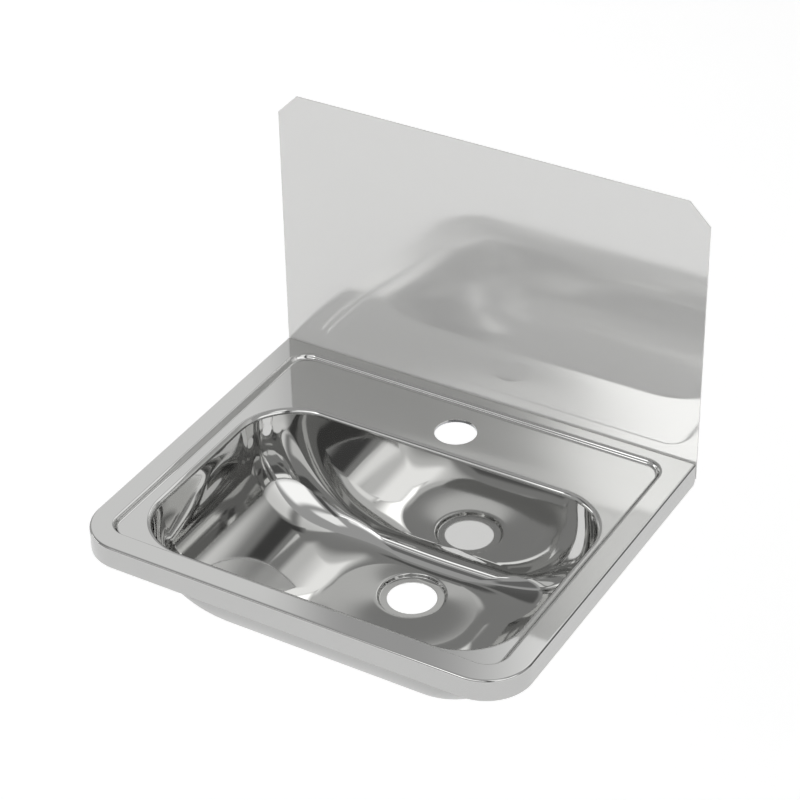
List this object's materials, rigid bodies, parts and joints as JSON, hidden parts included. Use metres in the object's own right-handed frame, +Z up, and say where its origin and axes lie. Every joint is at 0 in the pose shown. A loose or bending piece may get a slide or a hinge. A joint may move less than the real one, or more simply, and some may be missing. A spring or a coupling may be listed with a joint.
{
  "type": "wall-hung hand wash basin",
  "caption": "Wall-hung stainless steel hand wash basin with a deep rounded bowl, sunken tap ledge with one tap hole, round outlet and a tall flat splashback with clipped top corners.",
  "frame": {"origin": "on the wall plane, on the centre line, level with the top of the basin's rim", "axes": "+X right as one stands at the basin, +Y into the wall, +Z up"},
  "size_m": [0.4, 0.332, 0.3722],
  "materials": {
    "stainless_polished": "mirror-polished bowl and deck, finely satin rim",
    "stainless_satin": "bright satin sheet",
    "zinc_steel": "zinc-plated",
    "damping_rubber": "matt butyl sheet",
    "edge_strip": "matt extruded strip"
  },
  "bodies": {
    "wall_brackets": {"wall_bracket_right": "zinc_steel", "wall_bracket_left": "zinc_steel", "arm_trim_right": "edge_strip", "arm_trim_left": "edge_strip"},
    "basin": {"basin_pressing": "stainless_polished", "splashback_panel": "stainless_satin", "tap_ledge_stiffener": "zinc_steel", "rear_damping_pad": "damping_rubber", "floor_damping_pad": "damping_rubber", "earth_tag": "stainless_satin", "earth_washers": "zinc_steel", "earth_screw": "zinc_steel", "earth_nut": "zinc_steel"}
  },
  "joints": [
    {"name": "lift_off", "type": "slide", "parent": "wall_brackets", "child": "basin", "axis": [0, 0, 1], "range_m": [0, 0.022]}
  ]
}
